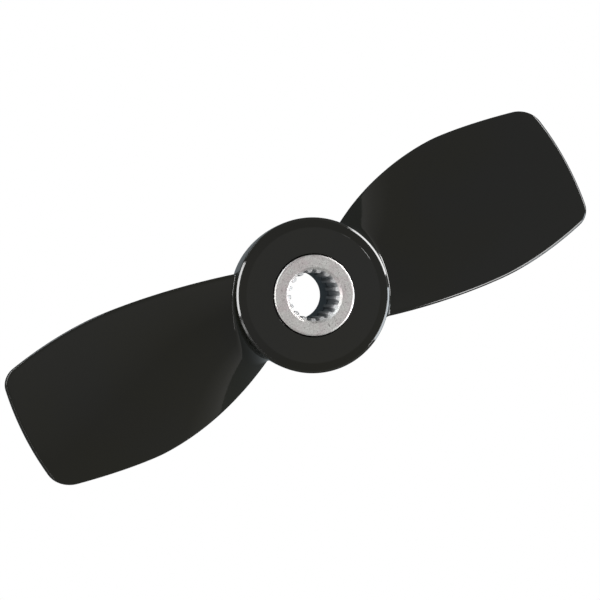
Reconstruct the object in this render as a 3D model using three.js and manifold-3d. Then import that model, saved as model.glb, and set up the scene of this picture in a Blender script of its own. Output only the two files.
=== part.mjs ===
import * as THREE from 'three';
import Module from 'manifold-3d';
import { mergeVertices } from 'three/addons/utils/BufferGeometryUtils.js';

// Fixed two-blade, left-hand boat propeller with a splined steel insert in a rubber torsion bush.
// Millimetres. The bore runs along Z, +Z points forward to the drive leg, and z = 0 is the plane
// of the hub's aft face. The blades lie along +X and -X.

// Blades
const bladeCount = 2;
const overallDiameter = 381;
const pitch = 228.6;
const tipRake = 21.3;
const bladeSetback = 26.8;
const leadingRootSetback = 5.7;
const trailingRootSetback = 20.2;
const rootPitchLoss = 0.2;
const pitchSettlesAt = 0.3;
const widestAt = 0.575;
const rootFillet = 9;
const edgeFillet = 2.5;
const filletFullestAt = 0.75;
const leastFillet = 0.5;
const rootThickness = 12;
const tipThickness = 4.2;

// One edge's distance from the blade's centreline, measured round the shaft, at its widest and at
// the tip; how full its curve is towards the root and the tip; its corner radius; its thickness.
const leadingEdge = {
	widest: 44.5,
	tip: 34.3,
	rootFullness: 1.65,
	tipFullness: 1.87,
	corner: 10.5,
	thickness: 3
};
const trailingEdge = {
	widest: 53.6,
	tip: 43.5,
	rootFullness: 1.9,
	tipFullness: 1.45,
	corner: 13.5,
	thickness: 2
};

// Splined sleeve
const splineTeeth = 17;
const splineMajorDiameter = 31;
const splineMinorDiameter = 27.6;
const splineLength = 40;
const grooveFloorShare = 0.44;
const grooveMouthShare = 0.76;
const grooveUndercut = 1;
const plainBoreDiameter = 30.1;
const sleeveWall = 8.7;
const sleeveProjection = 3.6;
const sleeveAftSetback = 1;
const sleeveChamfer = 0.7;
const mouthLip = 1.5;

// Rubber bush and its shell
const rubberWall = 7.6;
const rubberAftSetback = 4;
const shellWall = 2;
const shellAftSetback = 2;

// Hub. The rim's round is cut by a flat facet between two of its angles, in degrees from radial.
const hubLength = 65.5;
const hubWall = 6.8;
const hubFlare = 5.3;
const hubBulge = 1.1;
const frontWall = 11.5;
const faceCrown = 1.7;
const bevelWidth = 6.5;
const rimRound = 2.2;
const rimFacetFrom = 30.5;
const rimFacetTo = 73.5;
const aftRound = 1.6;

// Clearances
const joinGap = 0.3;
const runningGap = 0.7;

// Facets
const roundSegments = 72;
const chordSteps = 12;
const spanSteps = 14;
const filletSteps = 8;
const cornerSteps = 6;
const arcSteps = 4;
const barrelSteps = 8;
const weldDistance = 1e-4;

// Radii, from the bore outwards
const splineMajorRadius = splineMajorDiameter / 2;
const splineMinorRadius = splineMinorDiameter / 2;
const mouthRadius = splineMajorRadius + mouthLip;
const sleeveRadius = splineMajorRadius + sleeveWall;
const rubberInnerRadius = sleeveRadius + joinGap;
const rubberOuterRadius = rubberInnerRadius + rubberWall;
const shellInnerRadius = rubberOuterRadius + joinGap;
const shellOuterRadius = shellInnerRadius + shellWall;
const cavityRadius = shellOuterRadius + joinGap;
const hubAftRadius = cavityRadius + hubWall;
const hubRimRadius = hubAftRadius + hubFlare;
const tipRadius = overallDiameter / 2;

// Heights along the bore, from the aft face forwards
const cavityTop = hubLength - frontWall;
const sleeveTop = hubLength + sleeveProjection;
const splineEnd = sleeveTop - splineLength;
const bladeHeight = hubLength - bladeSetback;

const wasm = await Module();
wasm.setup();

function toSolid( geometry ) {

	geometry.deleteAttribute( 'normal' );
	geometry.deleteAttribute( 'uv' );
	const merged = mergeVertices( geometry, weldDistance );
	return new wasm.Manifold( new wasm.Mesh( {
		numProp: 3,
		vertProperties: new Float32Array( merged.attributes.position.array ),
		triVerts: new Uint32Array( merged.index.array )
	} ) );

}

function toGeometry( solid ) {

	const mesh = solid.getMesh();
	const geometry = new THREE.BufferGeometry();
	geometry.setAttribute( 'position', new THREE.BufferAttribute( mesh.vertProperties, 3 ) );
	geometry.setIndex( new THREE.BufferAttribute( mesh.triVerts, 1 ) );
	return geometry;

}

// A turned piece: its profile of [radius, height] points closes on itself.
function turned( profile ) {

	const points = profile.map( ( [ radius, height ] ) => new THREE.Vector2( radius, height ) );
	points.push( points[ 0 ].clone() );
	return new THREE.LatheGeometry( points, roundSegments ).rotateX( Math.PI / 2 );

}

function ring( innerRadius, outerRadius, low, high ) {

	return turned( [ [ innerRadius, low ], [ outerRadius, low ], [ outerRadius, high ], [ innerRadius, high ] ] );

}

// Distance of one edge from the blade's centreline, round the shaft at this radius.
function edgeDistance( edge, rootDistance, radius ) {

	const widestRadius = THREE.MathUtils.lerp( hubRimRadius, tipRadius, widestAt );
	if ( radius < widestRadius ) {

		const back = ( widestRadius - radius ) / ( widestRadius - hubRimRadius );
		return edge.widest - ( edge.widest - rootDistance ) * back ** edge.rootFullness;

	}

	const out = ( radius - widestRadius ) / ( tipRadius - widestRadius );
	return edge.widest - ( edge.widest - edge.tip ) * out ** edge.tipFullness;

}

// The same edge with its tip corner rounded: an arc that touches the tip circle and the edge.
function roundedDistance( edge, rootDistance, radius ) {

	const arcRadius = tipRadius - edge.corner;
	const atArc = edgeDistance( edge, rootDistance, arcRadius );
	const slope = atArc - edgeDistance( edge, rootDistance, arcRadius + 1 );
	const arcDistance = atArc - edge.corner * Math.hypot( 1, slope );
	const touchRadius = arcRadius + edge.corner * Math.sin( Math.atan( slope ) );
	if ( radius < touchRadius ) return edgeDistance( edge, rootDistance, radius );
	return arcDistance + Math.sqrt( Math.max( 0, edge.corner ** 2 - ( radius - arcRadius ) ** 2 ) );

}

// How far out along the blade a radius lies, from 0 at the hub's rim to 1 at the tip.
function spanAt( radius ) {

	return Math.max( 0, ( radius - hubRimRadius ) / ( tipRadius - hubRimRadius ) );

}

// The blade's pitch, which eases off towards the root.
function pitchAt( span ) {

	return pitch * ( 1 - rootPitchLoss * Math.max( 0, 1 - span / pitchSettlesAt ) ** 2 );

}

// The angles at which the two edges stand at this radius. The wrap at the hub is what its length
// leaves, and inside the hub wall the angles stay as they are at the rim.
function edgeAngles( radius ) {

	const outside = Math.max( radius, hubRimRadius );
	const leadingWrap = 2 * Math.PI * ( bladeSetback - leadingRootSetback ) / pitchAt( 0 );
	const trailingWrap = 2 * Math.PI * ( bladeHeight - trailingRootSetback ) / pitchAt( 0 );
	return {
		leading: - roundedDistance( leadingEdge, hubRimRadius * leadingWrap, outside ) / outside,
		trailing: roundedDistance( trailingEdge, hubRimRadius * trailingWrap, outside ) / outside
	};

}

// One point of the blade's skin, a share of the way along a section from the leading edge, on its
// flat aft (pressure) side or its convex forward (suction) side, moved out by an extra thickness.
function skinPoint( radius, along, side, extra ) {

	const { leading, trailing } = edgeAngles( radius );
	const span = spanAt( radius );
	const angle = THREE.MathUtils.lerp( leading, trailing, along );
	const height = bladeHeight - pitchAt( span ) * angle / ( 2 * Math.PI ) - tipRake * span;
	const slope = Math.atan( pitchAt( span ) / ( 2 * Math.PI * radius ) );
	const thickest = THREE.MathUtils.lerp( rootThickness, tipThickness, span );
	const edge = THREE.MathUtils.lerp( leadingEdge.thickness, trailingEdge.thickness, along );
	const swell = Math.max( 0, thickest - edge ) * ( 1 - ( 2 * along - 1 ) ** 2 );
	const out = side > 0 ? edge / 2 + swell + extra : - edge / 2 - extra;
	const forth = extra * ( 2 * along - 1 ) ** 3;
	return {
		turn: angle + ( out * Math.sin( slope ) + forth * Math.cos( slope ) ) / radius,
		height: height + out * Math.cos( slope ) - forth * Math.sin( slope )
	};

}

// The extra thickness of the root fillet: none at its own radius above the barrel, all of it at
// the barrel and inside. It is largest towards the trailing edge, and near the rim it is as small as
// the barrel's side leaves it.
function filletAt( radius, along, side ) {

	const height = skinPoint( hubRimRadius, along, side, 0 ).height;
	const room = Math.max( leastFillet, hubLength - rimRound - height );
	const power = filletFullestAt / ( 1 - filletFullestAt );
	const fullness = ( along / filletFullestAt ) ** power * ( 1 - along ) / ( 1 - filletFullestAt );
	const fullest = THREE.MathUtils.lerp( edgeFillet, rootFillet, fullness );
	const fillet = side > 0 ? Math.min( fullest, room ) : fullest;
	const rise = Math.max( 0, radius - barrelRadius( height ) );
	if ( rise > fillet ) return 0;
	return fillet - Math.sqrt( fillet ** 2 - ( fillet - rise ) ** 2 );

}

// One blade section at a radius: the aft side from the leading to the trailing edge, then the
// forward side back again, as points laid round the shaft.
function bladeSection( radius ) {

	const steps = Array.from( { length: chordSteps + 1 }, ( _, step ) => step );
	const sidePoints = ( side ) => steps.map( ( step ) => {

		const along = ( 1 - Math.cos( Math.PI * step / chordSteps ) ) / 2;
		const { turn, height } = skinPoint( radius, along, side, filletAt( radius, along, side ) );
		return [ radius * Math.cos( turn ), radius * Math.sin( turn ), height ];

	} );

	return [ ...sidePoints( - 1 ), ...sidePoints( 1 ).reverse() ];

}

// Radii of the sections: one inside the barrel's wall, close ones up the root fillet, even steps
// to the corners, then closer ones round them to the tip.
function sectionRadii() {

	const lowest = barrelRadius( trailingRootSetback );
	const filletTop = hubRimRadius + rootFillet;
	const corner = Math.max( leadingEdge.corner, trailingEdge.corner );
	const radii = [ ( cavityRadius + hubAftRadius ) / 2 ];
	for ( let step = 0; step < filletSteps; step ++ ) {

		radii.push( THREE.MathUtils.lerp( lowest, filletTop, step / filletSteps ) );

	}

	for ( let step = 0; step <= spanSteps; step ++ ) {

		radii.push( THREE.MathUtils.lerp( filletTop, tipRadius - corner, step / spanSteps ) );

	}

	for ( let step = 1; step <= cornerSteps; step ++ ) {

		radii.push( tipRadius - corner * ( 1 - Math.sin( 0.5 * Math.PI * step / cornerSteps ) ) );

	}

	return radii;

}

function bladeGeometry() {

	const sections = sectionRadii().map( bladeSection );
	const count = sections[ 0 ].length;
	const last = ( sections.length - 1 ) * count;
	const indices = [];
	const quad = ( a, b, c, d ) => indices.push( a, c, b, a, d, c );

	for ( let row = 0; row < sections.length - 1; row ++ ) {

		for ( let point = 0; point < count; point ++ ) {

			const here = row * count + point;
			const next = row * count + ( point + 1 ) % count;
			quad( here, here + count, next + count, next );

		}

	}

	for ( let point = 0; point < chordSteps; point ++ ) {

		const opposite = count - 1 - point;
		quad( point, point + 1, opposite - 1, opposite );
		quad( last + opposite, last + opposite - 1, last + point + 1, last + point );

	}

	const geometry = new THREE.BufferGeometry();
	geometry.setAttribute( 'position', new THREE.Float32BufferAttribute( sections.flat( 2 ), 3 ) );
	geometry.setIndex( indices );
	return geometry;

}

// Points of a quarter round between two directions, given in degrees from the radial one.
function arcPoints( centreRadius, centreHeight, round, from, to ) {

	return Array.from( { length: arcSteps + 1 }, ( _, step ) => {

		const angle = THREE.MathUtils.degToRad( THREE.MathUtils.lerp( from, to, step / arcSteps ) );
		return [ centreRadius + round * Math.cos( angle ), centreHeight + round * Math.sin( angle ) ];

	} );

}

// The barrel's side: a straight taper from the aft face to the rim, swollen a little midway.
function barrelRadius( height ) {

	const along = ( height - aftRound ) / ( hubLength - rimRound - aftRound );
	return THREE.MathUtils.lerp( hubAftRadius, hubRimRadius, along ) + 4 * hubBulge * along * ( 1 - along );

}

function barrelSide() {

	return Array.from( { length: barrelSteps - 1 }, ( _, step ) => {

		const height = THREE.MathUtils.lerp( aftRound, hubLength - rimRound, ( step + 1 ) / barrelSteps );
		return [ barrelRadius( height ), height ];

	} );

}

function barrelGeometry() {

	const faceHeight = hubLength + faceCrown;
	const holeRadius = sleeveRadius + runningGap;
	const rimFacet = THREE.MathUtils.degToRad( rimFacetTo );
	return turned( [
		[ cavityRadius, 0 ],
		...arcPoints( hubAftRadius - aftRound, aftRound, aftRound, - 90, 0 ),
		...barrelSide(),
		...arcPoints( hubRimRadius - rimRound, hubLength - rimRound, rimRound, 0, rimFacetFrom ),
		[ hubRimRadius - rimRound * ( 1 - Math.cos( rimFacet ) ), hubLength - rimRound * ( 1 - Math.sin( rimFacet ) ) ],
		[ hubRimRadius - bevelWidth, faceHeight ],
		[ holeRadius, faceHeight ],
		[ holeRadius, cavityTop ],
		[ cavityRadius, cavityTop ]
	] );

}

// The casting: the hub barrel with its two blades, in one piece.
function castingGeometry() {

	let casting = toSolid( barrelGeometry() );
	for ( let blade = 0; blade < bladeCount; blade ++ ) {

		const turn = 2 * Math.PI * blade / bladeCount;
		casting = casting.add( toSolid( bladeGeometry().rotateZ( turn ) ) );

	}

	return toGeometry( casting );

}

// Outline of the grooves' cutter: a star whose points are the grooves, and whose waists lie inside
// the tooth tips. Shares are of one tooth pitch.
function splineOutline() {

	const shape = new THREE.Shape();
	const toothPitch = 2 * Math.PI / splineTeeth;
	const waistRadius = splineMinorRadius - grooveUndercut;
	const floor = grooveFloorShare / 2;
	const mouth = grooveMouthShare / 2;
	const corners = [ [ - mouth, waistRadius ], [ - floor, splineMajorRadius ], [ 0, splineMajorRadius ],
		[ floor, splineMajorRadius ], [ mouth, waistRadius ] ];
	const points = [];
	for ( let tooth = 0; tooth < splineTeeth; tooth ++ ) {

		for ( const [ share, radius ] of corners ) {

			const angle = toothPitch * ( tooth + share );
			points.push( new THREE.Vector2( radius * Math.cos( angle ), radius * Math.sin( angle ) ) );

		}

	}

	return shape.setFromPoints( points );

}

// The sleeve: bored to the tooth tips forward and plain aft, then its grooves are cut.
function sleeveGeometry() {

	const plainRadius = plainBoreDiameter / 2;
	const blank = toSolid( turned( [
		[ plainRadius + sleeveChamfer, sleeveAftSetback ],
		[ sleeveRadius - sleeveChamfer, sleeveAftSetback ],
		[ sleeveRadius, sleeveAftSetback + sleeveChamfer ],
		[ sleeveRadius, sleeveTop - sleeveChamfer ],
		[ sleeveRadius - sleeveChamfer, sleeveTop ],
		[ mouthRadius, sleeveTop ],
		[ splineMinorRadius, sleeveTop - ( mouthRadius - splineMinorRadius ) ],
		[ splineMinorRadius, splineEnd ],
		[ plainRadius, splineEnd ],
		[ plainRadius, sleeveAftSetback + sleeveChamfer ]
	] ) );
	const depth = splineLength + sleeveChamfer;
	const cutter = new THREE.ExtrudeGeometry( splineOutline(), { depth, bevelEnabled: false } );
	return toGeometry( blank.subtract( toSolid( cutter.translate( 0, 0, splineEnd ) ) ) );

}

const blackPaint = new THREE.MeshStandardMaterial( { color: 0x17181a, roughness: 0.18, metalness: 0 } );
const machinedSteel = new THREE.MeshStandardMaterial( { color: 0xb4b2ae, roughness: 0.42, metalness: 1 } );
const shellSteel = new THREE.MeshStandardMaterial( { color: 0x8f8d88, roughness: 0.5, metalness: 1 } );
const blackRubber = new THREE.MeshStandardMaterial( { color: 0x1b1b1b, roughness: 0.85, metalness: 0 } );

function piece( name, geometry, material ) {

	geometry.computeVertexNormals();
	const mesh = new THREE.Mesh( geometry, material );
	mesh.name = name;
	return mesh;

}

const propeller = new THREE.Group();
propeller.add(
	piece( 'propeller_casting', castingGeometry(), blackPaint ),
	piece( 'bush_shell', ring( shellInnerRadius, shellOuterRadius, shellAftSetback, cavityTop - joinGap ), shellSteel ),
	piece( 'rubber_bush',
		ring( rubberInnerRadius, rubberOuterRadius, rubberAftSetback, cavityTop - shellAftSetback ), blackRubber ),
	piece( 'splined_sleeve', sleeveGeometry(), machinedSteel )
);

export default propeller;
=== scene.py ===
"""Fixed two-blade, left-hand boat propeller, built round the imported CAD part. Metres, Z up."""

import math

import bmesh
import bpy
import numpy as np
from mathutils import Matrix, Vector
from mathutils.geometry import delaunay_2d_cdt


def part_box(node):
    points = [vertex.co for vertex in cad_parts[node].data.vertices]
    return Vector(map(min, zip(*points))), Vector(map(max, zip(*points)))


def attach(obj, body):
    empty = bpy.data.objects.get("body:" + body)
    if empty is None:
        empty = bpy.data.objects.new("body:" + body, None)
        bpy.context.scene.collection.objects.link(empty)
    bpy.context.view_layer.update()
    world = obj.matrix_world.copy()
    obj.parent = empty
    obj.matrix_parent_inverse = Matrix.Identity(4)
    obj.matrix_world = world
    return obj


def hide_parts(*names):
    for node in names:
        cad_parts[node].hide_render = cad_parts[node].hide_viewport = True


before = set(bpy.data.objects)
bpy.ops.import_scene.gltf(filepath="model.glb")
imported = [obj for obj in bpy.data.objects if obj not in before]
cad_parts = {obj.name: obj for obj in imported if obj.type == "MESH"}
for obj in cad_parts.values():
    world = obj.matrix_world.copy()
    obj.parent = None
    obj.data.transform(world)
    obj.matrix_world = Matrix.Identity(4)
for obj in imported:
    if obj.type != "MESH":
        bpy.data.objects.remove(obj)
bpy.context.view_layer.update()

MM = 0.001

# ---------------------------------------------------------------- sizes

# From the frame: how far each CAD node reaches out and up.
sleeve_low, sleeve_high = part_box("splined_sleeve")
shell_low, shell_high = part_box("bush_shell")
rubber_low, rubber_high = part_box("rubber_bush")
casting_low, casting_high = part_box("propeller_casting")

SLEEVE_RADIUS = sleeve_high.x
SLEEVE_BOTTOM = sleeve_low.z
SLEEVE_TOP = sleeve_high.z
SHELL_RADIUS = shell_high.x
RUBBER_RADIUS = rubber_high.x
FACE_HEIGHT = casting_high.z
TIP_RADIUS = 190.5 * MM

# Hub. The rim's round is cut by a flat facet between two angles, in degrees from the outward radial
# direction.
FACE_CROWN = 1.7 * MM
CROWN_ROUND = 4 * MM
BEVEL_WIDTH = 6.5 * MM
RIM_ROUND = 2.2 * MM
RIM_FACET = (30.5, 73.5)
LIP_ROUND = 0.5 * MM
AFT_ROUND = 1.6 * MM
HUB_WALL = 6.8 * MM
HUB_FLARE = 5.3 * MM
HUB_BULGE = 1.1 * MM
FRONT_WALL = 11.5 * MM
JOIN_GAP = 0.3 * MM
RUNNING_GAP = 0.7 * MM
HUB_LENGTH = FACE_HEIGHT - FACE_CROWN
CAVITY_RADIUS = SHELL_RADIUS + JOIN_GAP
HUB_AFT_RADIUS = CAVITY_RADIUS + HUB_WALL
HUB_RIM_RADIUS = HUB_AFT_RADIUS + HUB_FLARE

# Blades. Each edge lies as far round the shaft from the centreline as its table says at the widest
# place and at the tip, and its thickness is that of the rounded edge. The forward face is rounded off
# over LEADING_NOSE. The root fillet grows from EDGE_FILLET at both edges to ROOT_FILLET at
# FILLET_FULLEST_AT of the chord, and ends below the rim; LEAST_RISE is the least upward lean that
# counts as leading it there.
PITCH = 228.6 * MM
TIP_RAKE = 21.3 * MM
BLADE_SETBACK = 26.8 * MM
BLADE_HEIGHT = HUB_LENGTH - BLADE_SETBACK
LEADING_ROOT_SETBACK = 5.7 * MM
TRAILING_ROOT_SETBACK = 20.2 * MM
ROOT_PITCH_LOSS = 0.2
PITCH_SETTLES_AT = 0.3
WIDEST_AT = 0.575
ROOT_THICKNESS = 12 * MM
TIP_THICKNESS = 4.2 * MM
TIP_ROUND = 1.8 * MM
LEADING_NOSE = 3.6 * MM
ROOT_FILLET = 9 * MM
EDGE_FILLET = 2.5 * MM
FILLET_FULLEST_AT = 0.75
FILLET_BELOW_RIM = 0.25 * MM
LEAST_RISE = 0.05
LEADING = {
    "widest": 44.5 * MM,
    "tip": 34.3 * MM,
    "root_fullness": 1.65,
    "tip_fullness": 1.87,
    "corner": 10.5 * MM,
    "thickness": 3 * MM,
}
TRAILING = {
    "widest": 53.6 * MM,
    "tip": 43.5 * MM,
    "root_fullness": 1.9,
    "tip_fullness": 1.45,
    "corner": 13.5 * MM,
    "thickness": 2 * MM,
}

# Bush
SHELL_EDGE_ROUND = 0.35 * MM
RUBBER_HOLLOW = 1.4 * MM

# Splined sleeve. The shares are of one tooth pitch, measured from the middle of a groove.
TEETH = 17
SPLINE_MAJOR = 15.5 * MM
SPLINE_MINOR = 13.8 * MM
SPLINE_LENGTH = 40 * MM
HALF_GROOVE = 0.22
HALF_GROOVE_MOUTH = 0.325
CORNER_EASE = 0.035
FLANK_INSET = 0.04
FLANK_STEPS = 4
TOOTH_SHARES = (-0.5, -0.44)
FLOOR_SHARES = (-0.1, 0)
PLAIN_BORE = 15.05 * MM
MOUTH_RADIUS = 17 * MM
SLEEVE_CHAMFER = 0.7 * MM
SLEEVE_EDGE = 0.25 * MM
BORE_FINISH_DEPTH = 1.6 * MM
BORE_FINISH_MARGIN = 0.1 * MM

# The floor, in metres. It lies a little under the aft face, so that the two never share a plane.
FLOOR_SIZE = 8
FLOOR_GAP = 0.2 * MM

# Facets of the visible meshes
HUB_COLUMNS = 180
HUB_ROWS = 40
CHORD_STEPS = 30
CAP_STEPS = 8
FILLET_STEPS = 12
SPAN_STEPS = 46
CORNER_STEPS = 12
ROUND_COLUMNS = 144
HOLLOW_STEPS = 12

# How the visible meshes are made. Rows are shares of the way along a chamfer (as first, last and
# count), down the spline and across the rim's facet. The barrel's side is meshed flat, unrolled at
# UNROLL_RADIUS, with no loose point nearer than FOOT_CLEARANCE to the blade's footprint.
MERGE_DISTANCE = 0.004 * MM
SHORTEST_EDGE = 0.001 * MM
SUPPORT_REACH = 0.35 * MM
CHORD_END_SHARE = 0.08
FOOT_PASSES = 12
UNROLL_RADIUS = 45 * MM
FOOT_CLEARANCE = 1 * MM
FLAT_TOLERANCE = 1e-9
CHAMFER_ROWS = (0.02, 0.94, 7)
TEETH_ROWS = (0, 0.008, 0.03, 0.3, 0.6, 0.97, 1)
FACET_ROWS = (0.08, 0.16, 0.5, 0.84, 0.92)

# Finishes. A ramp is a list of places and the colour or grey at each. A noise is its scale per metre,
# its detail and its roughness. A relief is its strength and its depth in metres.
PAINT_IOR = 1.5
PAINT_TONE = [(0.35, (0.0048, 0.0046, 0.0004)), (0.62, (0.0044, 0.0046, 0.0034))]
PAINT_TONE_NOISE = (9, 2, 0.5)
PAINT_SMEAR = [(0.3, 0.05), (0.75, 0.1)]
PAINT_SMEAR_NOISE = (45, 5, 0.6)
PAINT_PEEL_NOISE = (420, 2, 0.4)
PAINT_PEEL_RELIEF = (0.03, 0.0004)
STEEL_SPECKLE = [(0.32, (0.58, 0.565, 0.555)), (0.62, (0.86, 0.845, 0.83))]
STEEL_SPECKLE_NOISE = (1500, 3, 0.7)
STEEL_PATCH = [(0.34, (0.92, 0.86, 0.87)), (0.5, (0.96, 0.955, 0.945)), (0.64, (0.98, 1.0, 0.98))]
STEEL_PATCH_NOISE = (110, 4, 0.6)
STEEL_PATCH_ROUGHNESS = [(0.25, 0.4), (0.75, 0.52)]
STEEL_PITS = [(0.63, (1, 1, 1)), (0.71, (0.55, 0.54, 0.54))]
STEEL_PITS_NOISE = (800, 2, 0.5)
STEEL_SCRATCHES = [(0.66, (1, 1, 1)), (0.71, (0.45, 0.44, 0.44))]
STEEL_SCRATCH_NOISE = (1100, 2, 0.5)
STEEL_SCRATCH_STRETCH = (1, 0.1, 1)
STEEL_SCRATCH_TURN = (0, 0, 0.55)
STEEL_RELIEF = (0.25, 0.0002)
BORE_METALLIC = 0.4
BORE_MARKS = [(0.3, (0.54, 0.55, 0.56)), (0.7, (0.94, 0.935, 0.93))]
BORE_MARKS_NOISE = (1400, 3, 0.6)
BORE_MARKS_STRETCH = (1, 1, 0.05)
BORE_ROUGHNESS = [(0.3, 0.45), (0.7, 0.62)]
SPLINE_END = 1 - SPLINE_LENGTH / SLEEVE_TOP
# Painted shade in the bore: its colour darkens from the mouth downwards, darkest and bluish below the
# spline.
BORE_DEPTH_SHADE = [
    (SPLINE_END - 0.01, (0.17, 0.22, 0.26)),
    (SPLINE_END + 0.03, (0.5, 0.53, 0.56)),
    (1, (1, 1, 1)),
]
SHELL_RINGS = [(0.3, (0.22, 0.21, 0.2)), (0.7, (0.36, 0.35, 0.33))]
SHELL_RINGS_NOISE = (160, 4, 0.6)
SHELL_RINGS_STRETCH = (1, 1, 14)
SHELL_ROUGHNESS = [(0.3, 0.4), (0.7, 0.55)]
RUBBER_BLOOM = [(0.3, (0.012, 0.012, 0.012)), (0.7, (0.028, 0.027, 0.026))]
RUBBER_BLOOM_NOISE = (60, 3, 0.5)
RUBBER_GRAIN_NOISE = (700, 5, 0.65)
RUBBER_ROUGHNESS = [(0.3, 0.65), (0.7, 0.85)]
RUBBER_RELIEF = (0.35, 0.0003)
PAPER = (0.12, 0.12, 0.12, 1)
PAPER_ROUGHNESS = 0.9
PAPER_GLOW = (0.8, 0.93, 1, 1)
PAPER_GLOW_STRENGTH = 0.14
SKY = [(0.0, 0.65), (0.12, 0.5), (0.3, 0.38), (0.75, 0.38), (0.97, 0.54)]

# Camera and lights. The camera's turns are its lean, nod and roll in degrees. A light is its name,
# azimuth and elevation in degrees, width and height in metres, power in watts and colour.
LENS = 128
SENSOR = 36
CLIP_START = 0.05
CAMERA_TURNS = (9.496, -0.336, 25.5)
CAMERA_DISTANCE = 1276.6 * MM
CAMERA_OFFSET = (8.17 * MM, 2.79 * MM)
LIGHT_DISTANCE = 1.6
WHITE = (1, 1, 1)
SKY_BLUE = (0.86, 0.94, 1.0)
LIGHTS = [
    ("left", 149, 23, (1.3, 0.1), 7, WHITE),
    ("edge", 196, 23, (1.5, 0.035), 1.0, WHITE),
    ("right", 8, 5.5, (1.2, 0.22), 13, WHITE),
    ("front", 315, 25, (0.8, 0.34), 9, WHITE),
    ("low", 322, 7, (1.0, 0.3), 9, SKY_BLUE),
    ("back", 112, 8, (0.5, 0.3), 4, SKY_BLUE),
    ("spark", 1, 61, (0.12, 0.12), 0.6, WHITE),
    ("faint", 17, 63, (0.08, 0.08), 0.06, WHITE),
]

# ---------------------------------------------------------------- helpers


def lerp(start, end, share):
    """The value at a share of the way from one to another."""
    return start + (end - start) * share


def make_piece(name, verts, faces, sharp_over=40):
    """A mesh object from points and faces, with doubles merged and normals facing out."""
    mesh = bpy.data.meshes.new(name)
    mesh.from_pydata([tuple(v) for v in verts], [], [tuple(f) for f in faces])
    work = bmesh.new()
    work.from_mesh(mesh)
    bmesh.ops.remove_doubles(work, verts=work.verts, dist=MERGE_DISTANCE)
    bmesh.ops.dissolve_degenerate(work, edges=work.edges, dist=SHORTEST_EDGE)
    bmesh.ops.recalc_face_normals(work, faces=work.faces)
    work.to_mesh(mesh)
    work.free()
    mesh.shade_smooth()
    mesh.set_sharp_from_angle(angle=math.radians(sharp_over))
    piece = bpy.data.objects.new(name, mesh)
    bpy.context.scene.collection.objects.link(piece)
    return piece


def arc(centre_radius, centre_height, radius, start, end, steps):
    """Profile points of a round corner, its angles in degrees from the outward radial direction."""
    points = []
    for angle in np.radians(np.linspace(start, end, steps + 1)):
        out, up = radius * math.cos(angle), radius * math.sin(angle)
        points.append((centre_radius + out, centre_height + up))
    return points


def between_points(start, end, shares):
    """Profile points at the given shares of the way from one point to another."""
    return [(lerp(start[0], end[0], share), lerp(start[1], end[1], share)) for share in shares]


def supported(profile):
    """The profile with an extra point close to both ends of each long straight run, so that smooth
    shading stays flat along it."""
    points = []
    for start, end in zip(profile, profile[1:]):
        points.append(start)
        length = math.hypot(end[0] - start[0], end[1] - start[1])
        if length > 4 * SUPPORT_REACH:
            near = SUPPORT_REACH / length
            points += between_points(start, end, (near, 1 - near))
    points.append(profile[-1])
    return points


def strips(rows):
    """Faces joining rows of points laid one after the other, each row running once round."""
    count = len(rows[0])
    faces = []
    for row in range(len(rows) - 1):
        for column in range(count):
            here = row * count + column
            beside = row * count + (column + 1) % count
            faces.append((here, beside, beside + count, here + count))
    return faces


def turned_rows(profile, columns):
    """Rows of points round the shaft, one row for each point of a profile."""
    angles = np.linspace(0, 2 * math.pi, columns, endpoint=False)
    cosines, sines = np.cos(angles), np.sin(angles)
    return [np.stack([r * cosines, r * sines, np.full(columns, z)], 1) for r, z in profile]


# ---------------------------------------------------------------- the blade


def barrel_radius(height):
    """The hub's outer radius: a taper with a slight bulge."""
    along = (height - AFT_ROUND) / (HUB_LENGTH - RIM_ROUND - AFT_ROUND)
    return lerp(HUB_AFT_RADIUS, HUB_RIM_RADIUS, along) + 4 * HUB_BULGE * along * (1 - along)


def pitch_at(span):
    """The pitch, which is less close to the hub."""
    return PITCH * (1 - ROOT_PITCH_LOSS * np.clip(1 - span / PITCH_SETTLES_AT, 0, None) ** 2)


def span_at(radius):
    """How far along the blade a radius is, from 0 at the hub to 1 at the tip."""
    return np.clip((radius - HUB_RIM_RADIUS) / (TIP_RADIUS - HUB_RIM_RADIUS), 0, None)


def edge_distance(edge, root, radius):
    """How far round the shaft an edge lies from the blade's centreline."""
    widest_radius = lerp(HUB_RIM_RADIUS, TIP_RADIUS, WIDEST_AT)
    back = np.clip((widest_radius - radius) / (widest_radius - HUB_RIM_RADIUS), 0, 1)
    out = np.clip((radius - widest_radius) / (TIP_RADIUS - widest_radius), 0, 1)
    inner = (edge["widest"] - root) * back ** edge["root_fullness"]
    outer = (edge["widest"] - edge["tip"]) * out ** edge["tip_fullness"]
    return edge["widest"] - inner - outer


def rounded_distance(edge, root, radius):
    """The same with the tip corner rounded by an arc that touches the tip circle and the edge."""
    corner = edge["corner"]
    arc_radius = TIP_RADIUS - corner
    at_arc = edge_distance(edge, root, arc_radius)
    slope = (at_arc - edge_distance(edge, root, arc_radius + MM)) / MM
    arc_distance = at_arc - corner * math.hypot(1, slope)
    touch = arc_radius + corner * math.sin(math.atan(slope))
    on_arc = arc_distance + np.sqrt(np.clip(corner**2 - (radius - arc_radius) ** 2, 0, None))
    return np.where(radius < touch, edge_distance(edge, root, radius), on_arc)


def edge_angles(radius):
    """The angles round the shaft of the leading and the trailing edge."""
    outside = np.maximum(radius, HUB_RIM_RADIUS)
    leading_wrap = 2 * math.pi * (BLADE_SETBACK - LEADING_ROOT_SETBACK) / pitch_at(0)
    trailing_wrap = 2 * math.pi * (BLADE_HEIGHT - TRAILING_ROOT_SETBACK) / pitch_at(0)
    leading = -rounded_distance(LEADING, HUB_RIM_RADIUS * leading_wrap, outside) / outside
    trailing = rounded_distance(TRAILING, HUB_RIM_RADIUS * trailing_wrap, outside) / outside
    return leading, trailing


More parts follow.
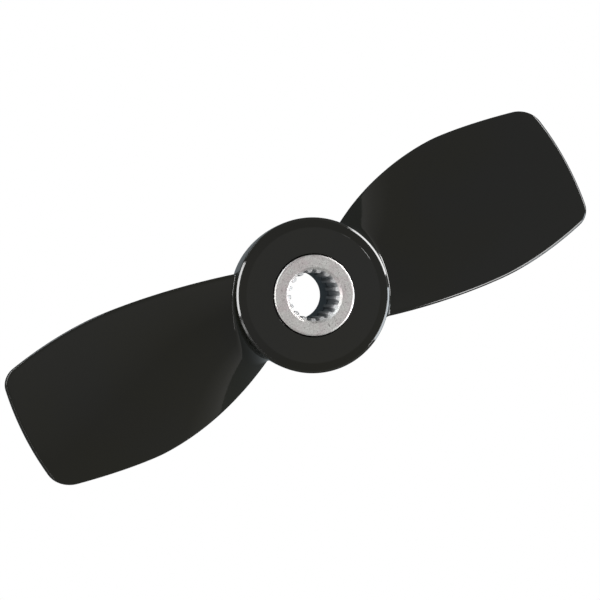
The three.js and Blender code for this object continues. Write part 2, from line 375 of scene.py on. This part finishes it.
def section_columns():
    """What each point of a section's ring is: its side, the cap it is on (-1 leading, 1 trailing,
    0 none), its angle on that cap and its share of the way between the caps."""
    cap = [math.pi / 2 * step / CAP_STEPS for step in range(CAP_STEPS)]
    middle = []
    for step in range(CHORD_STEPS + 1):
        turn = CHORD_END_SHARE + (1 - 2 * CHORD_END_SHARE) * step / CHORD_STEPS
        middle.append((1 - math.cos(math.pi * turn)) / 2)
    middle = [(share - middle[0]) / (middle[-1] - middle[0]) for share in middle]
    half = [(-1, angle, 0) for angle in cap]
    half += [(0, math.pi / 2, share) for share in middle]
    half += [(1, angle, 1) for angle in reversed(cap)]
    ring = [(1, *point) for point in half]
    ring += [(-1, *point) for point in reversed(half[1:-1])]
    return [np.array(values, dtype=float) for values in zip(*ring)]


SIDE, CAP, CAP_ANGLE, SHARE = section_columns()


def section(radius):
    """Distance along the chord and off it of each ring point, and the section's slope and start."""
    leading, trailing = edge_angles(radius)
    span = span_at(radius)
    slope = np.arctan(pitch_at(span) / (2 * math.pi * radius))
    chord = (trailing - leading) * radius / np.cos(slope)
    lead, trail = LEADING["thickness"] / 2, TRAILING["thickness"] / 2
    nose = np.where(SIDE > 0, LEADING_NOSE, lead)
    between = lerp(nose, chord - trail, SHARE)
    along = np.where(CAP < 0, nose * (1 - np.cos(CAP_ANGLE)), between)
    along = np.where(CAP > 0, chord - trail * (1 - np.cos(CAP_ANGLE)), along)
    half = np.where(CAP < 0, lead, np.where(CAP > 0, trail, lerp(lead, trail, SHARE)))
    share = np.clip(along / chord, 0, 1)
    thickest = lerp(ROOT_THICKNESS, TIP_THICKNESS, span)
    swell = (thickest - lerp(2 * lead, 2 * trail, share)) * 4 * share * (1 - share)
    past = np.clip((radius - (TIP_RADIUS - TIP_ROUND)) / TIP_ROUND, 0, 1)
    thinning = np.sqrt(1 - past**2)
    off = (SIDE * half * np.sin(CAP_ANGLE) + np.where(SIDE > 0, swell, 0)) * thinning
    return along, off, slope, leading, span


def placed(radius, along, off, slope, leading, span):
    """Angle and height of points given along and off the chord."""
    angle = leading + along * np.cos(slope) / radius
    height = BLADE_HEIGHT - pitch_at(span) * angle / (2 * math.pi) - TIP_RAKE * span
    return angle + off * np.sin(slope) / radius, height + off * np.cos(slope)


def smooth_round(values, passes=3):
    """Evens out values that run once round a ring."""
    for _ in range(passes):
        values = (np.roll(values, 1) + 2 * values + np.roll(values, -1)) / 4
    return values


def blade_rows():
    """Rows of points up the blade: the root fillet, the blade to its corners, and round the tip."""
    start = np.full(len(SIDE), HUB_RIM_RADIUS)
    along, off, slope, leading, span = section(start)
    run_along = np.roll(along, -1) - np.roll(along, 1)
    run_off = np.roll(off, -1) - np.roll(off, 1)
    size = np.hypot(run_along, run_off)
    out_along, out_off = -run_off / size, run_along / size
    height = placed(start, along, off, slope, leading, span)[1]
    rise = -out_along * np.sin(slope) + out_off * np.cos(slope)
    top = HUB_LENGTH - RIM_ROUND - FILLET_BELOW_RIM
    room = (top - height) / np.maximum(rise, LEAST_RISE)
    share = np.where(CAP < 0, 0, np.where(CAP > 0, 1, SHARE))
    power = FILLET_FULLEST_AT / (1 - FILLET_FULLEST_AT)
    fullness = (share / FILLET_FULLEST_AT) ** power * (1 - share) / (1 - FILLET_FULLEST_AT)
    fullest = lerp(EDGE_FILLET, ROOT_FILLET, fullness)
    fillet = smooth_round(np.where(rise > 0, np.minimum(fullest, room), fullest))

    def filleted(radius, spread):
        along, off, *rest = section(radius)
        return placed(radius, along + spread * out_along, off + spread * out_off, *rest)

    foot = start
    for _ in range(FOOT_PASSES):
        foot = barrel_radius(filleted(foot, fillet)[1])
    rows = []
    for step in range(FILLET_STEPS + 1):
        turn = math.pi / 2 * step / FILLET_STEPS
        radius = foot + fillet * (1 - math.cos(turn))
        rows.append((radius, *filleted(radius, fillet * (1 - math.sin(turn)))))
    corner = max(LEADING["corner"], TRAILING["corner"])
    for step in range(1, SPAN_STEPS + 1):
        radius = lerp(foot + fillet, TIP_RADIUS - corner, step / SPAN_STEPS)
        rows.append((radius, *filleted(radius, 0)))
    for step in range(1, CORNER_STEPS + 1):
        turn = math.pi / 2 * step / CORNER_STEPS
        radius = np.full(len(SIDE), TIP_RADIUS - corner * (1 - math.sin(turn)))
        rows.append((radius, *filleted(radius, 0)))
    return rows


# ---------------------------------------------------------------- the casting


def inside(point, loop):
    """Whether a flat point lies inside a closed loop of points."""
    x, y = point
    x0, y0 = loop[:, 0], loop[:, 1]
    x1, y1 = np.roll(x0, -1), np.roll(y0, -1)
    crosses = (y0 > y) != (y1 > y)
    reach = x0 + (y - y0) * (x1 - x0) / np.where(y1 == y0, 1, y1 - y0)
    return np.count_nonzero(crosses & (x < reach)) % 2 == 1


def barrel_half(foot_angles, foot_heights):
    """Half of the barrel's side, a quarter turn each way from the blade, with the blade's footprint
    left open. Unrolled, it is a flat sheet that is meshed between its border and the footprint."""
    quarter = HUB_COLUMNS // 4
    angles = np.linspace(-math.pi / 2, math.pi / 2, 2 * quarter + 1)
    heights = np.linspace(AFT_ROUND, HUB_LENGTH - RIM_ROUND, HUB_ROWS + 1)
    loop = np.stack([foot_angles * UNROLL_RADIUS, foot_heights], 1)
    points = [tuple(p) for p in loop]
    grid = {}
    for row, height in enumerate(heights):
        for column, angle in enumerate(angles):
            point = np.array([angle * UNROLL_RADIUS, height])
            border = row in (0, HUB_ROWS) or column in (0, 2 * quarter)
            near = np.hypot(*(loop - point).T).min() < FOOT_CLEARANCE
            if border or not (near or inside(point, loop)):
                grid[row, column] = len(points)
                points.append(tuple(point))
    edges = [(i, (i + 1) % len(loop)) for i in range(len(loop))]
    for row in (0, HUB_ROWS):
        edges += [(grid[row, c], grid[row, c + 1]) for c in range(2 * quarter)]
    for column in (0, 2 * quarter):
        edges += [(grid[r, column], grid[r + 1, column]) for r in range(HUB_ROWS)]
    loose = [Vector(p) for p in points]
    flat, _, triangles, *_ = delaunay_2d_cdt(loose, edges, [], 0, FLAT_TOLERANCE)
    flat = np.array([tuple(p) for p in flat])
    kept = [t for t in triangles if not inside(flat[list(t)].mean(0), loop)]
    radius = barrel_radius(flat[:, 1])
    turn = flat[:, 0] / UNROLL_RADIUS
    verts = np.stack([radius * np.cos(turn), radius * np.sin(turn), flat[:, 1]], 1)
    return verts, kept


def hub_profile():
    """The casting's outline from the top of the barrel's side over the forward face, down the hole
    and the cavity, and over the aft face to the bottom of the side."""
    hole = SLEEVE_RADIUS + RUNNING_GAP
    cavity_top = HUB_LENGTH - FRONT_WALL
    bevel = math.degrees(math.atan2(FACE_CROWN, BEVEL_WIDTH))
    crown_reach = CROWN_ROUND * math.tan(math.radians(bevel) / 2)
    crown_radius = HUB_RIM_RADIUS - BEVEL_WIDTH - crown_reach
    facet_from, facet_to = RIM_FACET
    rim = (HUB_RIM_RADIUS - RIM_ROUND, HUB_LENGTH - RIM_ROUND, RIM_ROUND)
    facet_end = arc(*rim, facet_to, facet_to, 0)[0]
    profile = arc(*rim, 0, facet_from, 6)
    profile += between_points(profile[-1], facet_end, FACET_ROWS)
    profile.append(facet_end)
    profile += arc(crown_radius, FACE_HEIGHT - CROWN_ROUND, CROWN_ROUND, 90 - bevel, 90, 6)
    profile += arc(hole + LIP_ROUND, FACE_HEIGHT - LIP_ROUND, LIP_ROUND, 90, 180, 5)
    profile += [
        (hole, cavity_top),
        (CAVITY_RADIUS, cavity_top),
        (CAVITY_RADIUS, LIP_ROUND),
        (CAVITY_RADIUS + LIP_ROUND, 0),
    ]
    profile += arc(HUB_AFT_RADIUS - AFT_ROUND, AFT_ROUND, AFT_ROUND, -90, 0, 8)
    return supported(profile)


def casting():
    """The hub with its two blades, the second blade being the first turned by half a turn."""
    rows = blade_rows()
    verts = []
    faces = []

    def add(points, new_faces):
        start = sum(len(v) for v in verts)
        verts.append(points)
        faces.extend(tuple(start + i for i in face) for face in new_faces)

    blade = [np.stack([r * np.cos(t), r * np.sin(t), z], 1) for r, t, z in rows]
    side, triangles = barrel_half(rows[0][1], rows[0][2])
    for turn in (1, -1):
        flip = np.array([turn, turn, 1])
        add(np.concatenate(blade) * flip, strips(blade))
        add(side * flip, triangles)
    ends = turned_rows(hub_profile(), HUB_COLUMNS)
    add(np.concatenate(ends), strips(ends))
    return make_piece("casting", np.concatenate(verts), faces, sharp_over=50)


# ---------------------------------------------------------------- the bush


def turned_piece(name, profile):
    """A piece of revolution whose outline closes on itself."""
    points = supported(profile + profile[:1])
    rows = turned_rows(points, ROUND_COLUMNS)
    return make_piece(name, np.concatenate(rows), strips(rows))


def bush_shell():
    """The steel tube round the rubber."""
    inner = RUBBER_RADIUS + JOIN_GAP
    low, high = shell_low.z, shell_high.z
    edge = SHELL_EDGE_ROUND
    return turned_piece(
        "bush_tube",
        [
            *arc(SHELL_RADIUS - edge, low + edge, edge, -90, 0, 4),
            *arc(SHELL_RADIUS - edge, high - edge, edge, 0, 90, 4),
            *arc(inner + edge, high - edge, edge, 90, 180, 4),
            *arc(inner + edge, low + edge, edge, 180, 270, 4),
        ],
    )


def rubber_bush():
    """The rubber ring, its two ends hollowed between the steel on either side."""
    inner = SLEEVE_RADIUS + JOIN_GAP
    low, high = rubber_low.z, rubber_high.z
    shares = np.linspace(0, 1, HOLLOW_STEPS + 1)
    sunk = RUBBER_HOLLOW * 4 * shares * (1 - shares)
    bottom = list(zip(lerp(inner, RUBBER_RADIUS, shares), low + sunk))
    top = list(zip(lerp(RUBBER_RADIUS, inner, shares), high - sunk))
    return turned_piece("rubber_ring", bottom + top)


# ---------------------------------------------------------------- the sleeve


def tooth_outline():
    """Bore radius round one tooth pitch, as (share of the pitch, radius), corners eased."""
    tooth = (*TOOTH_SHARES, -HALF_GROOVE_MOUTH - CORNER_EASE)
    groove = (-HALF_GROOVE + CORNER_EASE, *FLOOR_SHARES)
    outline = [(share, SPLINE_MINOR) for share in tooth]
    for step in range(FLANK_STEPS + 1):
        rise = FLANK_INSET + (1 - 2 * FLANK_INSET) * step / FLANK_STEPS
        share = lerp(-HALF_GROOVE_MOUTH, -HALF_GROOVE, step / FLANK_STEPS)
        outline.append((share, lerp(SPLINE_MINOR, SPLINE_MAJOR, rise)))
    outline += [(share, SPLINE_MAJOR) for share in groove]
    mirrored = [(-share, radius) for share, radius in reversed(outline[1:-1])]
    return outline + mirrored


def splined_sleeve():
    """The steel insert: rows of points down the bore, round its aft end and up its outside."""
    outline = tooth_outline()
    pitch = 2 * math.pi / TEETH
    angles = np.array([pitch * (tooth + share) for tooth in range(TEETH) for share, _ in outline])
    bore = np.array([radius for _ in range(TEETH) for _, radius in outline])
    spline_end = SLEEVE_TOP - SPLINE_LENGTH
    chamfer_end = SLEEVE_TOP - (MOUTH_RADIUS - bore)
    rows = []

    def ring(radius, height):
        points = [radius * np.cos(angles), radius * np.sin(angles), height * np.ones(len(angles))]
        rows.append(np.stack(points, 1))

    for share in np.linspace(*CHAMFER_ROWS):
        ring(lerp(MOUTH_RADIUS, bore, share), lerp(SLEEVE_TOP, chamfer_end, share))
    for share in TEETH_ROWS:
        ring(bore, lerp(chamfer_end, spline_end, share))
    low, chamfer, edge = SLEEVE_BOTTOM, SLEEVE_CHAMFER, SLEEVE_EDGE
    outside = [
        (PLAIN_BORE, spline_end),
        (PLAIN_BORE, low + chamfer),
        (PLAIN_BORE + chamfer, low),
        *arc(SLEEVE_RADIUS - chamfer, low + chamfer, chamfer, -90, 0, 5),
        (SLEEVE_RADIUS, SLEEVE_TOP - chamfer),
        (SLEEVE_RADIUS - chamfer + edge, SLEEVE_TOP - edge),
        (SLEEVE_RADIUS - chamfer - edge, SLEEVE_TOP),
        (MOUTH_RADIUS + edge, SLEEVE_TOP),
    ]
    for radius, height in supported(outside):
        ring(radius, height)
    rows.append(rows[0])
    return make_piece("spline_insert", np.concatenate(rows), strips(rows), sharp_over=32)


def finish_bore(sleeve):
    """Gives the bore's own finish, the second material, which carries painted shade deeper down, to
    the faces below the mouth.
    """
    for face in sleeve.data.polygons:
        centre = face.center
        within = math.hypot(centre.x, centre.y) < SPLINE_MAJOR + BORE_FINISH_MARGIN
        face.material_index = int(within and centre.z < SLEEVE_TOP - BORE_FINISH_DEPTH)


# ---------------------------------------------------------------- materials


def new_material(name, metallic=0.0):
    """A material with its nodes, links and shader."""
    material = bpy.data.materials.new(name)
    material.use_nodes = True
    nodes, links = material.node_tree.nodes, material.node_tree.links
    shader = nodes["Principled BSDF"]
    shader.inputs["Metallic"].default_value = metallic
    return material, nodes, links, shader


def noise(nodes, links, coords, texture):
    """A noise texture's value, from its scale, detail and roughness."""
    node = nodes.new("ShaderNodeTexNoise")
    for name, value in zip(("Scale", "Detail", "Roughness"), texture):
        node.inputs[name].default_value = value
    links.new(coords, node.inputs["Vector"])
    return node.outputs["Fac"]


def ramp(nodes, links, value, stops):
    """A value turned into a colour by a list of places and colours."""
    node = nodes.new("ShaderNodeValToRGB")
    elements = node.color_ramp.elements
    while len(elements) < len(stops):
        elements.new(0.5)
    for element, (place, colour) in zip(elements, stops):
        element.position = place
        element.color = (*colour, 1) if isinstance(colour, tuple) else (colour, colour, colour, 1)
    links.new(value, node.inputs["Fac"])
    return node.outputs["Color"]


def bump(nodes, links, height, relief):
    """A normal from a height value, relief being the strength and the distance in metres."""
    node = nodes.new("ShaderNodeBump")
    for name, value in zip(("Strength", "Distance"), relief):
        node.inputs[name].default_value = value
    links.new(height, node.inputs["Height"])
    return node.outputs["Normal"]


def multiplied(nodes, links, first, second):
    """Two colours multiplied."""
    mix = nodes.new("ShaderNodeMix")
    mix.data_type = "RGBA"
    mix.blend_type = "MULTIPLY"
    mix.inputs["Factor"].default_value = 1
    links.new(first, mix.inputs[6])
    links.new(second, mix.inputs[7])
    return mix.outputs[2]


def mapped(nodes, links, scale=(1, 1, 1), rotation=(0, 0, 0)):
    """The object's own coordinates, stretched and turned."""
    coords = nodes.new("ShaderNodeTexCoord").outputs["Object"]
    mapping = nodes.new("ShaderNodeMapping")
    mapping.inputs["Rotation"].default_value = rotation
    mapping.inputs["Scale"].default_value = scale
    links.new(coords, mapping.inputs["Vector"])
    return mapping.outputs["Vector"]


def gloss_paint():
    """Black stoving paint over cast aluminium: deep gloss, slight orange peel, a little dust."""
    material, nodes, links, shader = new_material("gloss_black_paint")
    shader.inputs["IOR"].default_value = PAINT_IOR
    coords = mapped(nodes, links)
    tone = noise(nodes, links, coords, PAINT_TONE_NOISE)
    smear = noise(nodes, links, coords, PAINT_SMEAR_NOISE)
    peel = noise(nodes, links, coords, PAINT_PEEL_NOISE)
    links.new(ramp(nodes, links, tone, PAINT_TONE), shader.inputs["Base Color"])
    links.new(ramp(nodes, links, smear, PAINT_SMEAR), shader.inputs["Roughness"])
    links.new(bump(nodes, links, peel, PAINT_PEEL_RELIEF), shader.inputs["Normal"])
    return material


def machined_steel():
    """Turned and broached steel, matt grey, with tool marks, fine speckle and a few scratches."""
    material, nodes, links, shader = new_material("machined_steel", 1)
    coords = mapped(nodes, links)
    along_scratches = mapped(nodes, links, STEEL_SCRATCH_STRETCH, STEEL_SCRATCH_TURN)
    speckle = noise(nodes, links, coords, STEEL_SPECKLE_NOISE)
    patch = noise(nodes, links, coords, STEEL_PATCH_NOISE)
    pits = noise(nodes, links, coords, STEEL_PITS_NOISE)
    scratches = noise(nodes, links, along_scratches, STEEL_SCRATCH_NOISE)
    colour = ramp(nodes, links, speckle, STEEL_SPECKLE)
    for value, stops in ((patch, STEEL_PATCH), (pits, STEEL_PITS), (scratches, STEEL_SCRATCHES)):
        colour = multiplied(nodes, links, colour, ramp(nodes, links, value, stops))
    links.new(colour, shader.inputs["Base Color"])
    links.new(ramp(nodes, links, patch, STEEL_PATCH_ROUGHNESS), shader.inputs["Roughness"])
    links.new(bump(nodes, links, speckle, STEEL_RELIEF), shader.inputs["Normal"])
    return material


def bore_steel():
    """The broached bore: oiled, with fine marks along the teeth, and painted shade that darkens it
    deeper in, darkest and bluish below the spline.
    """
    material, nodes, links, shader = new_material("bore_steel", BORE_METALLIC)
    marks = noise(nodes, links, mapped(nodes, links, BORE_MARKS_STRETCH), BORE_MARKS_NOISE)
    depth = nodes.new("ShaderNodeSeparateXYZ")
    links.new(mapped(nodes, links, (1, 1, 1 / SLEEVE_TOP)), depth.inputs["Vector"])
    clean = ramp(nodes, links, marks, BORE_MARKS)
    # Painted shade: the colour darkens with depth down the bore.
    painted_depth_shade = ramp(nodes, links, depth.outputs["Z"], BORE_DEPTH_SHADE)
    links.new(multiplied(nodes, links, clean, painted_depth_shade), shader.inputs["Base Color"])
    links.new(ramp(nodes, links, marks, BORE_ROUGHNESS), shader.inputs["Roughness"])
    return material


def shell_steel():
    """Turned steel with rings of tool marks."""
    material, nodes, links, shader = new_material("shell_steel", 1)
    rings = noise(nodes, links, mapped(nodes, links, SHELL_RINGS_STRETCH), SHELL_RINGS_NOISE)
    links.new(ramp(nodes, links, rings, SHELL_RINGS), shader.inputs["Base Color"])
    links.new(ramp(nodes, links, rings, SHELL_ROUGHNESS), shader.inputs["Roughness"])
    return material


def black_rubber():
    """Matt moulded rubber with a fine grain and a faint bloom."""
    material, nodes, links, shader = new_material("black_rubber")
    coords = mapped(nodes, links)
    grain = noise(nodes, links, coords, RUBBER_GRAIN_NOISE)
    bloom = noise(nodes, links, coords, RUBBER_BLOOM_NOISE)
    links.new(ramp(nodes, links, bloom, RUBBER_BLOOM), shader.inputs["Base Color"])
    links.new(ramp(nodes, links, grain, RUBBER_ROUGHNESS), shader.inputs["Roughness"])
    links.new(bump(nodes, links, grain, RUBBER_RELIEF), shader.inputs["Normal"])
    return material


def floor_material():
    """A white backdrop without shadows. What lights and mirrors in the part is a dimmer paper."""
    material, nodes, links, paper = new_material("white_floor")
    paper.inputs["Base Color"].default_value = PAPER
    paper.inputs["Roughness"].default_value = PAPER_ROUGHNESS
    paper.inputs["Emission Color"].default_value = PAPER_GLOW
    paper.inputs["Emission Strength"].default_value = PAPER_GLOW_STRENGTH
    white = nodes.new("ShaderNodeEmission")
    white.inputs["Color"].default_value = (1, 1, 1, 1)
    white.inputs["Strength"].default_value = 1.0
    seen = nodes.new("ShaderNodeLightPath").outputs["Is Camera Ray"]
    mix = nodes.new("ShaderNodeMixShader")
    links.new(seen, mix.inputs["Fac"])
    links.new(paper.outputs["BSDF"], mix.inputs[1])
    links.new(white.outputs["Emission"], mix.inputs[2])
    links.new(mix.outputs["Shader"], nodes["Material Output"].inputs["Surface"])
    return material


# ---------------------------------------------------------------- the object

SLEEVE_FINISHES = [machined_steel(), bore_steel()]
PIECES = [
    (casting(), [gloss_paint()], "propeller", "propeller_casting", "black_paint"),
    (bush_shell(), [shell_steel()], "propeller", "bush_shell", "shell_steel"),
    (rubber_bush(), [black_rubber()], "propeller", "rubber_bush", "black_rubber"),
    (splined_sleeve(), SLEEVE_FINISHES, "sleeve", "splined_sleeve", "machined_steel"),
]
for piece, materials, body, node, finish in PIECES:
    for material in materials:
        piece.data.materials.append(material)
    if len(materials) > 1:
        finish_bore(piece)
    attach(piece, body)
    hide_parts(node)

# ---------------------------------------------------------------- floor, lights, camera


def make_floor():
    """A large flat floor just under the aft face."""
    bpy.ops.mesh.primitive_plane_add(size=FLOOR_SIZE, location=(0, 0, casting_low.z - FLOOR_GAP))
    floor = bpy.context.object
    floor.name = "floor"
    floor.data.materials.append(floor_material())


def area_light(name, azimuth, elevation, size, power, colour):
    """A soft box aimed at the hub, its azimuth in degrees anticlockwise from +X."""
    turn, lift = math.radians(azimuth), math.radians(elevation)
    level = math.cos(lift)
    away = Vector((math.cos(turn) * level, math.sin(turn) * level, math.sin(lift)))
    light = bpy.data.lights.new(name, "AREA")
    light.shape = "RECTANGLE"
    light.size, light.size_y = size
    light.energy = power
    light.color = colour
    lamp = bpy.data.objects.new(name, light)
    lamp.location = away * LIGHT_DISTANCE
    lamp.rotation_euler = away.to_track_quat("Z", "Y").to_euler()
    bpy.context.scene.collection.objects.link(lamp)


def make_world():
    """A dim grey studio; the soft boxes and the floor are what is bright in it."""
    world = bpy.data.worlds.new("studio")
    bpy.context.scene.world = world
    world.use_nodes = True
    nodes, links = world.node_tree.nodes, world.node_tree.links
    direction = nodes.new("ShaderNodeTexCoord").outputs["Generated"]
    split = nodes.new("ShaderNodeSeparateXYZ")
    links.new(direction, split.inputs["Vector"])
    links.new(ramp(nodes, links, split.outputs["Z"], SKY), nodes["Background"].inputs["Color"])
    nodes["Background"].inputs["Strength"].default_value = 1.0


def make_camera():
    """Looks down the bore from in front, leaning 9.5 degrees, with the blades turned by 25.5."""
    lean, nod, roll = (math.radians(turn) for turn in CAMERA_TURNS)
    aside, above = CAMERA_OFFSET
    to_camera = Matrix.Rotation(-nod, 3, "X") @ Matrix.Rotation(lean, 3, "Y")
    to_camera = to_camera @ Matrix.Rotation(roll, 3, "Z")
    from_camera = to_camera.transposed()
    data = bpy.data.cameras.new("camera")
    data.sensor_width = SENSOR
    data.lens = LENS
    data.clip_start = CLIP_START
    camera = bpy.data.objects.new("camera", data)
    place = from_camera @ Vector((-aside, -above, CAMERA_DISTANCE)) + Vector((0, 0, HUB_LENGTH))
    camera.matrix_world = Matrix.Translation(place) @ from_camera.to_4x4()
    bpy.context.scene.collection.objects.link(camera)
    bpy.context.scene.camera = camera


make_floor()
make_world()
for light in LIGHTS:
    area_light(*light)
make_camera()
bpy.context.scene.view_settings.view_transform = "Standard"
